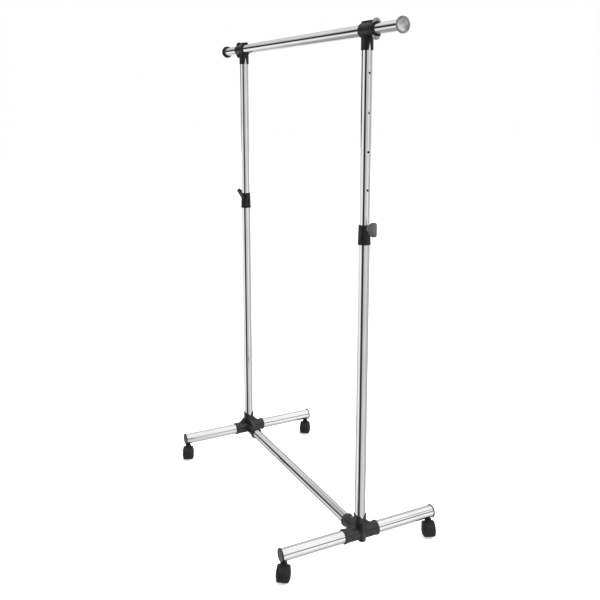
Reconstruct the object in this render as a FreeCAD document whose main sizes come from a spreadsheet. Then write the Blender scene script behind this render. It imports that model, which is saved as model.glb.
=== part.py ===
"""Rolling garment rack with a height-adjustable frame and a rail that extends both ways.

Millimetres. Z is up and z = 0 is the floor. X runs along the hanging rail and Y along the
feet. The origin is on the floor, midway between the two uprights. The near side is +X.
The pieces of each upright are drawn about its own axis with the outboard direction along
local +X, and the far side is the near side turned half a turn about Z.
"""

import FreeCAD, Part
import math
import os

import Sketcher

os.makedirs("parts", exist_ok=True)
doc = FreeCAD.newDocument("garment_rack")

# ---------------------------------------------------------------- driving dimensions

SIZES = {
    "upright_spacing": 732.0,
    "foot_axis_height": 67.0,
    "rail_axis_height": 1332.0,
    "foot_overall": 460.0,
    "rail_overall": 1020.0,
    "collar_centre_height": 854.0,
    "tube_wall": 1.2,
    "fit_gap": 0.1,
    "drill_over": 2.0,
    "slide_gap": 0.3,
    "foot_diameter": 32.0,
    "lower_diameter": 28.0,
    "upper_diameter": 25.0,
    "upright_gap": 1.0,
    "collar_stop": 3.0,
    "rail_diameter": 28.0,
    "extension_diameter": 25.0,
    "brace_diameter": 28.0,
    "brace_gap": 2.0,
    "plug_flange": 34.5,
    "plug_flange_thickness": 3.0,
    "plug_depth": 30.0,
    "stem_inset": 10.5,
    "stem_diameter": 8.0,
    "stem_collar": 14.0,
    "pivot_diameter": 6.0,
    "pivot_depth": 17.0,
    "wheel_diameter": 40.0,
    "wheel_inner_face": 5.0,
    "wheel_gap": 0.8,
    "caster_width": 36.0,
    "caster_trail": 8.0,
    "hood_top": 45.5,
    "hood_web": 9.0,
    "hood_shell": 2.4,
    "axle_diameter": 5.0,
    "foot_sleeve_length": 102.0,
    "foot_sleeve_diameter": 36.4,
    "foot_sleeve_rim": 39.0,
    "socket_wall": 2.0,
    "socket_reach": 52.0,
    "brace_socket_reach": 67.0,
    "brace_socket_diameter": 34.0,
    "brace_socket_rim": 38.0,
    "gusset_thickness": 11.0,
    "gusset_top": 35.0,
    "gusset_foot": 43.0,
    "lug_width": 12.0,
    "lug_bottom": 19.5,
    "screw_diameter": 4.0,
    "screw_head": 9.0,
    "screw_head_height": 2.0,
    "notch_depth": 8.0,
    "collar_length": 49.0,
    "collar_bottom": 32.6,
    "collar_top": 29.0,
    "knob_rise": 17.0,
    "knob_seat": 18.0,
    "knob_hub": 13.0,
    "knob_hub_end": 30.0,
    "knob_shank": 6.0,
    "wing_half_height": 18.0,
    "wing_outer_face": 49.0,
    "wing_shoulder": 38.0,
    "wing_thickness": 8.5,
    "hole_diameter": 6.0,
    "hole_pitch": 91.0,
    "hole_count": 7.0,
    "riser_length": 701.0,
    "riser_top_drop": 15.0,
    "tee_inboard": 17.0,
    "tee_outboard": 28.0,
    "tee_sleeve_diameter": 34.0,
    "tee_rim": 36.0,
    "tee_neck_diameter": 30.8,
    "tee_neck_length": 11.0,
    "tee_socket_drop": 45.5,
    "tee_socket_diameter": 29.0,
    "tee_notch_height": 24.0,
    "tee_notch_width": 9.0,
    "ridge_top": 21.0,
    "ridge_width": 11.0,
    "ridge_inboard": 20.0,
    "ridge_outboard": 25.0,
    "ring_start": 29.0,
    "ring_end": 47.0,
    "ring_diameter": 33.0,
    "lobe_reach": 24.5,
    "lobe_width": 20.0,
    "lobe_start": 33.0,
    "lobe_thickness": 8.0,
    "extension_length": 390.0,
    "cap_diameter": 37.5,
    "cap_depth": 9.0,
    "cap_plug_depth": 25.0,
}

sheet = doc.addObject("Spreadsheet::Sheet", "Sizes")
for row, (alias, value) in enumerate(SIZES.items(), start=1):
    sheet.set(f"A{row}", alias)
    sheet.set(f"B{row}", str(value))
    sheet.setAlias(f"B{row}", alias)
doc.recompute()

NEAR, FAR = 1, -1
SIDES = {"near": NEAR, "far": FAR}
ENDS = {"left": -1, "right": 1}
made = []


# ---------------------------------------------------------------- drawing helpers

def size(alias):
    """The present value of one driving dimension."""
    return float(getattr(sheet, alias))


def bound(formula):
    """A formula over bare dimension names, with each name tied to its spreadsheet cell."""
    words = formula.replace("(", " ( ").replace(")", " ) ").split()
    return " ".join(f"Sizes.{word}" if word in SIZES else word for word in words)


def new_body(label):
    body = doc.addObject("PartDesign::Body", label)
    body.Label = label
    made.append(body)
    return body


def new_sketch(body, name, role, offset=None):
    """A sketch on one of the body's own origin planes, moved off it by a formula."""
    plane = next(f for f in body.Origin.OriginFeatures if f.Role == role)
    sketch = body.newObject("Sketcher::SketchObject", name)
    sketch.AttachmentSupport = [(plane, "")]
    sketch.MapMode = "FlatFace"
    if offset is not None:
        sketch.setExpression("AttachmentOffset.Base.z", bound(offset))
    return sketch


def pin_point(sketch, geometry, vertex, across, up):
    """Fix one point of a sketch at two formulas measured from the sketch's origin."""
    for kind, formula in (("DistanceX", across), ("DistanceY", up)):
        index = sketch.addConstraint(
            Sketcher.Constraint(kind, -1, 1, geometry, vertex, 1.0))
        sketch.setExpression(f"Constraints[{index}]", bound(formula))


def circle(sketch, radius, across="0", up="0"):
    geometry = sketch.addGeometry(
        Part.Circle(FreeCAD.Vector(0, 0, 0), FreeCAD.Vector(0, 0, 1), 1.0), False)
    index = sketch.addConstraint(Sketcher.Constraint("Radius", geometry, 1.0))
    sketch.setExpression(f"Constraints[{index}]", bound(radius))
    pin_point(sketch, geometry, 3, across, up)


def outline(sketch, corners):
    """A closed outline of straight lines through corners given as pairs of formulas."""
    count = len(corners)
    start = [
        FreeCAD.Vector(math.cos(2 * math.pi * k / count), math.sin(2 * math.pi * k / count), 0)
        for k in range(count)
    ]
    lines = [
        sketch.addGeometry(Part.LineSegment(start[k], start[(k + 1) % count]), False)
        for k in range(count)
    ]
    for k, line in enumerate(lines):
        following = lines[(k + 1) % count]
        sketch.addConstraint(Sketcher.Constraint("Coincident", line, 2, following, 1))
        pin_point(sketch, line, 1, *corners[k])


def pad(body, sketch, length, name, midplane=False, reverse=False):
    feature = body.newObject("PartDesign::Pad", name)
    feature.Profile = sketch
    feature.setExpression("Length", bound(length))
    feature.Midplane = midplane
    feature.Reversed = reverse


def pocket(body, sketch, length, name, midplane=False, reverse=False):
    feature = body.newObject("PartDesign::Pocket", name)
    feature.Profile = sketch
    feature.setExpression("Length", bound(length))
    feature.Midplane = midplane
    feature.Reversed = reverse
    return feature


def turned(body, sketch, axis, name):
    """A full turn of a sketch about its own H_Axis or V_Axis."""
    feature = body.newObject("PartDesign::Revolution", name)
    feature.Profile = sketch
    feature.ReferenceAxis = (sketch, [axis])
    feature.Angle = 360.0


def place(body, across, along, height, turn=0.0):
    """Put a finished body at its place in the rack, turned about Z by degrees."""
    body.Placement = FreeCAD.Placement(
        FreeCAD.Vector(across, along, height),
        FreeCAD.Rotation(FreeCAD.Vector(0, 0, 1), turn))


def facing(side):
    """Degrees about Z that turn local +X outboard on one side of the rack."""
    return 0.0 if side == NEAR else 180.0


def place_on_side(body, side, height):
    """Put a body drawn about an upright's axis on the near or the far upright."""
    place(body, side * size("upright_spacing") / 2, 0, height, facing(side))


# ---------------------------------------------------------------- chrome tubes

def tube(label, role, diameter, length):
    """A straight tube centred on the origin, along the normal of an origin plane."""
    body = new_body(label)
    section = new_sketch(body, f"{label}_section", role)
    circle(section, f"{diameter} / 2")
    circle(section, f"{diameter} / 2 - tube_wall")
    pad(body, section, length, f"{label}_wall", midplane=True)
    return body


def hole_below(body, name, radius, along):
    """A round hole down through the underside of a level tube, at a distance along Y."""
    drill = new_sketch(body, f"{name}_sketch", "XY_Plane")
    circle(drill, radius, "0", along)
    pocket(body, drill, "foot_diameter", name)


def foot_tube(side_name, side):
    label = f"foot_tube_{side_name}"
    body = tube(label, "XZ_Plane", "foot_diameter",
                "foot_overall - 2 * plug_flange_thickness")
    for end_name, sign in ENDS.items():
        hole_below(body, f"{label}_stem_hole_{end_name}", "stem_diameter / 2 + 1",
                   f"( foot_overall / 2 - stem_inset ) * {sign}")
    hole_below(body, f"{label}_screw_hole", "screw_diameter / 2 + fit_gap", "0")
    place_on_side(body, side, size("foot_axis_height"))


def brace_tube():
    """The bottom rail between the two lower connectors."""
    body = tube("bottom_rail", "YZ_Plane", "brace_diameter",
                "upright_spacing - foot_diameter - brace_gap * 2")
    place(body, 0, 0, size("foot_axis_height"))


def lower_upright(side_name, side):
    """The outer tube of an upright, from just above the foot tube into the height collar."""
    label = f"lower_upright_{side_name}"
    body = new_body(label)
    section = new_sketch(body, f"{label}_section", "XY_Plane", "foot_diameter / 2 + upright_gap")
    circle(section, "lower_diameter / 2")
    circle(section, "lower_diameter / 2 - tube_wall")
    pad(body, section, "collar_centre_height + collar_stop - foot_axis_height"
        " - foot_diameter / 2 - upright_gap", f"{label}_wall")
    place_on_side(body, side, size("foot_axis_height"))


def upper_upright(side_name, side):
    """The inner tube of an upright, from its lower end, with a row of outboard holes."""
    label = f"upper_upright_{side_name}"
    body = new_body(label)
    section = new_sketch(body, f"{label}_section", "XY_Plane")
    circle(section, "upper_diameter / 2")
    circle(section, "upper_diameter / 2 - tube_wall")
    pad(body, section, "riser_length", f"{label}_wall")
    low = size("rail_axis_height") - size("riser_top_drop") - size("riser_length")
    screw = size("collar_centre_height") + size("knob_rise")
    first = (screw - low) % size("hole_pitch")
    hole = new_sketch(body, f"{label}_hole_sketch", "YZ_Plane")
    circle(hole, "hole_diameter / 2", "0", f"{first}")
    drilled = pocket(body, hole, "upper_diameter", f"{label}_hole", reverse=True)
    doc.recompute()
    row = body.newObject("PartDesign::LinearPattern", f"{label}_hole_row")
    row.Originals = [drilled]
    row.Direction = (section, ["N_Axis"])
    row.setExpression("Length", bound("hole_pitch * ( hole_count - 1 )"))
    row.setExpression("Occurrences", "Sizes.hole_count")
    body.Tip = row
    place_on_side(body, side, low)


def main_rail():
    body = tube("main_rail", "YZ_Plane", "rail_diameter",
                "upright_spacing + 2 * ( tee_outboard + tee_neck_length )")
    place(body, 0, 0, size("rail_axis_height"))


def extension_rail(side_name, side):
    label = f"extension_rail_{side_name}"
    body = tube(label, "YZ_Plane", "extension_diameter", "extension_length")
    outer_end = size("rail_overall") / 2 - size("cap_depth")
    place(body, side * (outer_end - size("extension_length") / 2), 0, size("rail_axis_height"))


# ---------------------------------------------------------------- feet and casters

def foot_plug(side_name, side, end_name, end):
    """The end plug of a foot tube, drawn with its flange towards local +Y."""
    label = f"foot_plug_{side_name}_{end_name}"
    body = new_body(label)
    profile = new_sketch(body, f"{label}_profile", "XY_Plane")
    flange_back = "foot_overall / 2 - plug_flange_thickness"
    outline(profile, [
        ("0", f"{flange_back} - plug_depth"),
        ("foot_diameter / 2 - tube_wall - fit_gap - 1", f"{flange_back} - plug_depth"),
        ("foot_diameter / 2 - tube_wall - fit_gap", f"{flange_back} - plug_depth + 2"),
        ("foot_diameter / 2 - tube_wall - fit_gap", flange_back),
        ("plug_flange / 2", flange_back),
        ("plug_flange / 2", "foot_overall / 2 - 1.4"),
        ("plug_flange / 2 - 2.5", "foot_overall / 2"),
        ("0", "foot_overall / 2"),
    ])
    turned(body, profile, "V_Axis", f"{label}_turned")
    bore = new_sketch(body, f"{label}_stem_bore_sketch", "XY_Plane", "stem_diameter + 2")
    circle(bore, "stem_diameter / 2", "0", "foot_overall / 2 - stem_inset")
    pocket(body, bore, "foot_diameter", f"{label}_stem_bore")
    place(body, side * size("upright_spacing") / 2, 0, size("foot_axis_height"), facing(end))


def caster_stem(label, spot):
    body = new_body(label)
    profile = new_sketch(body, f"{label}_profile", "XZ_Plane")
    under = "foot_axis_height - foot_diameter / 2"
    outline(profile, [
        ("0", "hood_top - pivot_depth"),
        ("pivot_diameter / 2 - 1", "hood_top - pivot_depth"),
        ("pivot_diameter / 2", "hood_top - pivot_depth + 1"),
        ("pivot_diameter / 2", f"{under} - 2.3"),
        ("stem_collar / 2", f"{under} - 2.3"),
        ("stem_collar / 2", f"{under} - 0.3"),
        ("stem_diameter / 2", f"{under} - 0.3"),
        ("stem_diameter / 2", "foot_axis_height + stem_diameter"),
        ("0", "foot_axis_height + stem_diameter + 1"),
    ])
    turned(body, profile, "V_Axis", f"{label}_turned")
    place(body, *spot)


def caster_hood(label, spot):
    """The swivelling body of a twin-wheel caster: neck, web and shell over the wheels."""
    body = new_body(label)
    axle_up = "wheel_diameter / 2"
    shell_out = "wheel_diameter / 2 + wheel_gap + hood_shell"
    cover = new_sketch(body, f"{label}_cover_sketch", "XZ_Plane")
    circle(cover, shell_out, "caster_trail * -1", axle_up)
    pad(body, cover, "caster_width - 3", f"{label}_cover", midplane=True)
    neck = new_sketch(body, f"{label}_neck_sketch", "XY_Plane", "wheel_diameter / 2 + 2")
    circle(neck, "stem_diameter + 1")
    pad(body, neck, "hood_top - wheel_diameter / 2 - 2", f"{label}_neck")
    for name, sign in (("left", 1), ("right", -1)):
        well = new_sketch(body, f"{label}_well_{name}_sketch", "XZ_Plane",
                          f"( hood_web / 2 ) * {sign}")
        circle(well, "wheel_diameter / 2 + wheel_gap", "caster_trail * -1", axle_up)
        pocket(body, well, "caster_width", f"{label}_well_{name}", reverse=sign > 0)
    floor_cut = new_sketch(body, f"{label}_skirt_sketch", "XZ_Plane")
    outline(floor_cut, [
        ("wheel_diameter * -1", "wheel_diameter * -1"),
        ("wheel_diameter", "wheel_diameter * -1"),
        ("wheel_diameter", "wheel_diameter / 2 + 6"),
        ("0", "wheel_diameter / 2 + 2"),
        ("0", "wheel_diameter / 4"),
        ("caster_trail * -2 - 4", "wheel_diameter / 4"),
        ("wheel_diameter * -1", "wheel_diameter / 2"),
    ])
    pocket(body, floor_cut, "caster_width + drill_over * 2", f"{label}_skirt", midplane=True)
    bore = new_sketch(body, f"{label}_stem_bore_sketch", "XY_Plane", "hood_top + 1")
    circle(bore, "pivot_diameter / 2 + fit_gap / 2")
    pocket(body, bore, "pivot_depth + 1.5", f"{label}_stem_bore")
    axle = new_sketch(body, f"{label}_axle_bore_sketch", "XZ_Plane")
    circle(axle, "axle_diameter / 2", "caster_trail * -1", axle_up)
    pocket(body, axle, "caster_width", f"{label}_axle_bore", midplane=True)
    place(body, *spot)


def caster_axle(label, spot):
    body = new_body(label)
    section = new_sketch(body, f"{label}_section", "XZ_Plane")
    circle(section, "axle_diameter / 2", "caster_trail * -1", "wheel_diameter / 2")
    pad(body, section, "caster_width - 6", f"{label}_pin", midplane=True)
    place(body, *spot)


def caster_wheel(label, spot, sign):
    """One of the two domed wheels, on the local +Y side or, turned over, on the -Y side."""
    body = new_body(label)
    profile = new_sketch(body, f"{label}_profile", "XY_Plane")
    rim = "wheel_diameter / 2"
    hub = "axle_diameter / 2 + fit_gap / 2"
    outer = "caster_width / 2"
    outline(profile, [
        (hub, "wheel_inner_face"),
        (f"{rim} - 1", "wheel_inner_face"),
        (rim, "wheel_inner_face + 1"),
        (rim, f"{outer} - 5"),
        (f"{rim} - 1.5", f"{outer} - 3"),
        (f"{rim} - 5", f"{outer} - 1"),
        (f"{rim} - 9", outer),
        (f"{rim} - 11", f"{outer} - 1.2"),
        (hub, f"{outer} - 0.8"),
    ])
    turned(body, profile, "V_Axis", f"{label}_turned")
    across, along, _, turn = spot
    angle = math.radians(turn)
    trail = size("caster_trail")
    place(body, across - trail * math.cos(angle), along - trail * math.sin(angle),
          size("wheel_diameter") / 2, turn + facing(sign))


# Each caster's forward direction at rest, in degrees from +X, by foot and end.
CASTER_TURN = {
    ("near", "left"): 146.0,
    ("near", "right"): 158.0,
    ("far", "left"): 158.0,
    ("far", "right"): 146.0,
}


def casters():
    for (side_name, end_name), turn in CASTER_TURN.items():
        across = SIDES[side_name] * size("upright_spacing") / 2
        along = ENDS[end_name] * (size("foot_overall") / 2 - size("stem_inset"))
        spot = (across, along, 0.0, turn)
        name = f"caster_{side_name}_{end_name}"
        caster_stem(f"{name}_stem", spot)
        caster_hood(f"{name}_hood", spot)
        caster_axle(f"{name}_axle", spot)
        caster_wheel(f"{name}_wheel_a", spot, 1)
        caster_wheel(f"{name}_wheel_b", spot, -1)


# ---------------------------------------------------------------- lower connectors

def lower_connector(side_name, side):
    """The moulded cross that joins a foot, an upright and the bottom rail."""
    label = f"lower_connector_{side_name}"
    body = new_body(label)
    half = "foot_sleeve_length / 2"
    sleeve = new_sketch(body, f"{label}_sleeve_profile", "XY_Plane")
    outline(sleeve, [
        ("0", f"{half} * -1"),
        ("foot_sleeve_rim / 2", f"{half} * -1"),
        ("foot_sleeve_diameter / 2", f"{half} * -1 + 7"),
        ("foot_sleeve_diameter / 2", f"{half} - 7"),
        ("foot_sleeve_rim / 2", half),
        ("0", half),
    ])
    turned(body, sleeve, "V_Axis", f"{label}_sleeve")

    socket = new_sketch(body, f"{label}_socket_sketch", "XY_Plane")
    circle(socket, "lower_diameter / 2 + fit_gap + socket_wall")
    pad(body, socket, "socket_reach", f"{label}_socket")

    arm = new_sketch(body, f"{label}_arm_profile", "XZ_Plane")
    outline(arm, [
        ("0", "0"),
        ("0", "brace_socket_diameter / 2"),
        ("brace_socket_reach * -1 + 12", "brace_socket_diameter / 2"),
        ("brace_socket_reach * -1 + 5", "brace_socket_rim / 2"),
        ("brace_socket_reach * -1", "brace_socket_rim / 2"),
        ("brace_socket_reach * -1", "0"),
    ])
    turned(body, arm, "H_Axis", f"{label}_arm")

    rib = new_sketch(body, f"{label}_rib_sketch", "YZ_Plane")
    outline(rib, [
        ("gusset_foot * -1", "foot_sleeve_diameter / 2 - 3"),
        ("gusset_foot", "foot_sleeve_diameter / 2 - 3"),
        ("gusset_foot - 8", "foot_sleeve_diameter / 2 + 6"),
        ("lower_diameter / 2 + 4", "gusset_top"),
        ("lower_diameter / -2 - 4", "gusset_top"),
        ("8 - gusset_foot", "foot_sleeve_diameter / 2 + 6"),
    ])
    pad(body, rib, "gusset_thickness", f"{label}_rib", midplane=True)

    web = new_sketch(body, f"{label}_web_sketch", "XZ_Plane")
    outline(web, [
        ("0", "brace_socket_diameter / 2 - 3"),
        ("0", "gusset_top"),
        ("lower_diameter / -2 - 4", "gusset_top"),
        ("14 - brace_socket_reach", "brace_socket_diameter / 2 - 3"),
    ])
    pad(body, web, "gusset_thickness", f"{label}_web", midplane=True)

    lug = new_sketch(body, f"{label}_lug_sketch", "XY_Plane")
    outline(lug, [
        ("lug_width / -2", "lug_width / -2"),
        ("lug_width / 2", "lug_width / -2"),
        ("lug_width / 2", "lug_width / 2"),
        ("lug_width / -2", "lug_width / 2"),
    ])
    pad(body, lug, "lug_bottom", f"{label}_lug", reverse=True)

    foot_bore = new_sketch(body, f"{label}_foot_bore_sketch", "XZ_Plane")
    circle(foot_bore, "foot_diameter / 2 + fit_gap")
    pocket(body, foot_bore, "foot_sleeve_length + drill_over * 2", f"{label}_foot_bore",
           midplane=True)

    up_bore = new_sketch(body, f"{label}_up_bore_sketch", "XY_Plane", "socket_reach + 1")
    circle(up_bore, "lower_diameter / 2 + fit_gap")
    pocket(body, up_bore, "socket_reach - foot_diameter / 2 + 1", f"{label}_up_bore")

    arm_bore = new_sketch(body, f"{label}_arm_bore_sketch", "YZ_Plane",
                          "brace_socket_reach * -1 - 1")
    circle(arm_bore, "brace_diameter / 2 + fit_gap")
    pocket(body, arm_bore, "brace_socket_reach - foot_diameter / 2", f"{label}_arm_bore",
           reverse=True)

    notch = new_sketch(body, f"{label}_notch_sketch", "YZ_Plane")
    outline(notch, [
        ("0", "socket_reach - notch_depth"),
        ("lower_diameter / 2 - 2", "socket_reach + 1"),
        ("lower_diameter / -2 + 2", "socket_reach + 1"),
    ])
    pocket(body, notch, "lower_diameter + socket_wall * 4", f"{label}_notch", midplane=True)

    screw = new_sketch(body, f"{label}_screw_bore_sketch", "XY_Plane")
    circle(screw, "screw_diameter / 2 + fit_gap / 2")
    pocket(body, screw, "lug_bottom + drill_over * 2", f"{label}_screw_bore")
    place_on_side(body, side, size("foot_axis_height"))


def lower_connector_screw(side_name, side):
    label = f"foot_screw_{side_name}"
    body = new_body(label)
    profile = new_sketch(body, f"{label}_profile", "XZ_Plane")
    tip = "3 - foot_diameter / 2"
    outline(profile, [
        ("0", f"{tip} + 1.5"),
        ("screw_diameter / 2", tip),
        ("screw_diameter / 2", "lug_bottom * -1"),
        ("screw_head / 2", "lug_bottom * -1"),
        ("screw_head / 2", "lug_bottom * -1 - 1.4"),
        ("screw_head / 2 - 1.6", "lug_bottom * -1 - screw_head_height"),
        ("0", "lug_bottom * -1 - screw_head_height"),
    ])
    turned(body, profile, "V_Axis", f"{label}_turned")
    place_on_side(body, side, size("foot_axis_height"))


# ---------------------------------------------------------------- height collars

def height_collar(side_name, side):
    """The tapered sleeve at the top of a lower upright that guides the upper one."""
    label = f"height_collar_{side_name}"
    body = new_body(label)
    half = "collar_length / 2"
    profile = new_sketch(body, f"{label}_profile", "XZ_Plane")
    outline(profile, [
        ("0", f"{half} * -1"),
        ("collar_bottom / 2", f"{half} * -1"),
        ("collar_bottom / 2", f"{half} * -1 + 2"),
        ("collar_top / 2", f"{half} - 1"),
        ("collar_top / 2 - 0.6", half),
        ("0", half),
    ])
    turned(body, profile, "V_Axis", f"{label}_sleeve")
    boss = new_sketch(body, f"{label}_boss_sketch", "YZ_Plane")
    circle(boss, "knob_hub / 2", "0", "knob_rise")
    pad(body, boss, "knob_seat - 0.5", f"{label}_boss")
    low_bore = new_sketch(body, f"{label}_low_bore_sketch", "XY_Plane", f"{half} * -1 - 1")
    circle(low_bore, "lower_diameter / 2 + fit_gap")
    pocket(body, low_bore, f"{half} + collar_stop + 1.5", f"{label}_low_bore", reverse=True)
    guide = new_sketch(body, f"{label}_guide_sketch", "XY_Plane", f"{half} + 1")
    circle(guide, "upper_diameter / 2 + slide_gap")
    pocket(body, guide, "collar_length + drill_over", f"{label}_guide")
    tap = new_sketch(body, f"{label}_tap_sketch", "YZ_Plane")
    circle(tap, "knob_shank / 2 + fit_gap / 2", "0", "knob_rise")
    pocket(body, tap, "knob_seat + drill_over", f"{label}_tap", reverse=True)
    place_on_side(body, side, size("collar_centre_height"))


def wing_knob(side_name, side, tilt):
    """The fan-shaped thumb screw of a height collar, tilted about its own axis."""
    label = f"wing_knob_{side_name}"
    body = new_body(label)
    tip = "upper_diameter / 2 + slide_gap + 0.4"
    profile = new_sketch(body, f"{label}_profile", "XZ_Plane")
    outline(profile, [
        (tip, "0"),
        (tip, "knob_shank / 2 - 0.5"),
        (f"{tip} + 0.5", "knob_shank / 2"),
        ("knob_seat", "knob_shank / 2"),
        ("knob_seat", "knob_hub / 2 - 0.5"),
        ("knob_seat + 0.5", "knob_hub / 2"),
        ("knob_hub_end", "knob_hub / 2 - 1.5"),
        ("knob_hub_end", "0"),
    ])
    turned(body, profile, "H_Axis", f"{label}_hub")
    fan = new_sketch(body, f"{label}_fan_sketch", "XZ_Plane")
    outline(fan, [
        ("knob_seat + 1", "knob_hub / -2 + 1"),
        ("wing_shoulder", "wing_half_height * -1"),
        ("wing_outer_face - 2", "wing_half_height * -1 + 1"),
        ("wing_outer_face", "wing_half_height * -1 + 5"),
        ("wing_outer_face", "wing_half_height - 5"),
        ("wing_outer_face - 2", "wing_half_height - 1"),
        ("wing_shoulder", "wing_half_height"),
        ("knob_seat + 1", "knob_hub / 2 - 1"),
    ])
    pad(body, fan, "wing_thickness", f"{label}_fan", midplane=True)
    turn = FreeCAD.Rotation(FreeCAD.Vector(0, 0, 1), facing(side))
    lean = FreeCAD.Rotation(FreeCAD.Vector(1, 0, 0), tilt)
    height = size("collar_centre_height") + size("knob_rise")
    body.Placement = FreeCAD.Placement(
        FreeCAD.Vector(side * size("upright_spacing") / 2, 0, height), turn.multiply(lean))


# ---------------------------------------------------------------- top connectors

def top_connector(side_name, side):
    """The moulded tee that holds the main rail on an upper upright."""
    label = f"top_connector_{side_name}"
    body = new_body(label)
    profile = new_sketch(body, f"{label}_sleeve_profile", "XZ_Plane")
    outline(profile, [
        ("tee_inboard * -1", "0"),
        ("tee_inboard * -1", "tee_rim / 2"),
        ("tee_inboard * -1 + 3", "tee_rim / 2"),
        ("tee_inboard * -1 + 6", "tee_sleeve_diameter / 2"),
        ("tee_outboard", "tee_sleeve_diameter / 2"),
        ("tee_outboard", "tee_neck_diameter / 2"),
        ("tee_outboard + tee_neck_length", "tee_neck_diameter / 2"),
        ("tee_outboard + tee_neck_length", "0"),
    ])
    turned(body, profile, "H_Axis", f"{label}_sleeve")
    ridge = new_sketch(body, f"{label}_ridge_sketch", "XZ_Plane")
    outline(ridge, [
        ("ridge_inboard * -1", "tee_rim / 2 - 2"),
        ("ridge_inboard * -1", "ridge_top - 1"),
        ("ridge_inboard * -1 + 2", "ridge_top"),
        ("ridge_outboard - 2", "ridge_top"),
        ("ridge_outboard", "ridge_top - 1.5"),
        ("ridge_outboard", "tee_sleeve_diameter / 2 - 3"),
        ("tee_inboard * -1 + 6", "tee_sleeve_diameter / 2 - 3"),
    ])
    pad(body, ridge, "ridge_width", f"{label}_ridge", midplane=True)
    socket = new_sketch(body, f"{label}_socket_sketch", "XY_Plane")
    circle(socket, "tee_socket_diameter / 2")
    pad(body, socket, "tee_socket_drop", f"{label}_socket", reverse=True)
    rail_bore = new_sketch(body, f"{label}_rail_bore_sketch", "YZ_Plane")
    circle(rail_bore, "rail_diameter / 2 + fit_gap")
    pocket(body, rail_bore, "( tee_outboard + tee_neck_length ) * 2 + drill_over",
           f"{label}_rail_bore", midplane=True)
    down_bore = new_sketch(body, f"{label}_down_bore_sketch", "XY_Plane")
    circle(down_bore, "upper_diameter / 2 + fit_gap")
    pocket(body, down_bore, "tee_socket_drop + 1", f"{label}_down_bore")
    notch = new_sketch(body, f"{label}_notch_sketch", "YZ_Plane")
    outline(notch, [
        ("0", "tee_notch_height - tee_socket_drop"),
        ("tee_notch_width / -2", "tee_socket_drop * -1 - 1"),
        ("tee_notch_width / 2", "tee_socket_drop * -1 - 1"),
    ])
    pocket(body, notch, "tee_socket_diameter + drill_over * 2", f"{label}_notch", midplane=True)
    place_on_side(body, side, size("rail_axis_height"))


def lock_ring(side_name, side):
    """The two-lobed ring that turns on a tee's neck to clamp the extension rail."""
    label = f"lock_ring_{side_name}"
    body = new_body(label)
    profile = new_sketch(body, f"{label}_profile", "XZ_Plane")
    outline(profile, [
        ("ring_start", "0"),
        ("ring_start", "ring_diameter / 2 - 0.5"),
        ("ring_start + 0.5", "ring_diameter / 2"),
        ("ring_end - 3", "ring_diameter / 2"),
        ("ring_end", "ring_diameter / 2 - 2"),
        ("ring_end", "0"),
    ])
    turned(body, profile, "H_Axis", f"{label}_hub")
    for name, sign in (("top", 1), ("bottom", -1)):
        lobe = new_sketch(body, f"{label}_lobe_{name}_sketch", "YZ_Plane", "lobe_start")
        circle(lobe, "lobe_width / 2", "0", f"( lobe_reach - lobe_width / 2 ) * {sign}")
        pad(body, lobe, "lobe_thickness", f"{label}_lobe_{name}")
    neck_bore = new_sketch(body, f"{label}_neck_bore_sketch", "YZ_Plane", "ring_start - 1")
    circle(neck_bore, "tee_neck_diameter / 2 + fit_gap / 2")
    pocket(body, neck_bore, "tee_neck_length + 2.5", f"{label}_neck_bore", reverse=True)
    rail_bore = new_sketch(body, f"{label}_rail_bore_sketch", "YZ_Plane")
    circle(rail_bore, "extension_diameter / 2 + slide_gap")
    pocket(body, rail_bore, "ring_end + drill_over", f"{label}_rail_bore", reverse=True)
    place_on_side(body, side, size("rail_axis_height"))


def rail_end_cap(side_name, side):
    """The flared, dished cap in the outer end of an extension rail."""
    label = f"rail_end_cap_{side_name}"
    body = new_body(label)
    inner = "extension_diameter / 2 - tube_wall - fit_gap"
    profile = new_sketch(body, f"{label}_profile", "XZ_Plane")
    outline(profile, [
        ("cap_depth * -1 - cap_plug_depth", "0"),
        ("cap_depth * -1 - cap_plug_depth", f"{inner} - 0.8"),
        ("cap_depth * -1 - cap_plug_depth + 2", inner),
        ("cap_depth * -1", inner),
        ("cap_depth * -1", "extension_diameter / 2 + 1"),
        ("cap_depth * -1 + 3", "extension_diameter / 2 + 2.5"),
        ("-3", "cap_diameter / 2 - 0.6"),
        ("-1.5", "cap_diameter / 2"),
        ("-0.4", "cap_diameter / 2 - 0.6"),
        ("0", "cap_diameter / 2 - 2"),
        ("-0.8", "cap_diameter / 2 - 4"),
        ("-3.5", "cap_diameter / 2 - 7"),
        ("-4.5", "0"),
    ])
    turned(body, profile, "H_Axis", f"{label}_turned")
    place(body, side * size("rail_overall") / 2, 0, size("rail_axis_height"), facing(side))


# ---------------------------------------------------------------- the whole rack

# How far each thumb screw's wing leans from upright, in degrees about its own axis.
KNOB_TILT = {"near": 0.0, "far": -31.0}

for side_name, side in SIDES.items():
    foot_tube(side_name, side)
    for end_name, end in ENDS.items():
        foot_plug(side_name, side, end_name, end)
    lower_connector(side_name, side)
    lower_connector_screw(side_name, side)
    lower_upright(side_name, side)
    height_collar(side_name, side)
    wing_knob(side_name, side, KNOB_TILT[side_name])
    upper_upright(side_name, side)
    top_connector(side_name, side)
    lock_ring(side_name, side)
    extension_rail(side_name, side)
    rail_end_cap(side_name, side)
brace_tube()
main_rail()
casters()

doc.recompute()

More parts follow.
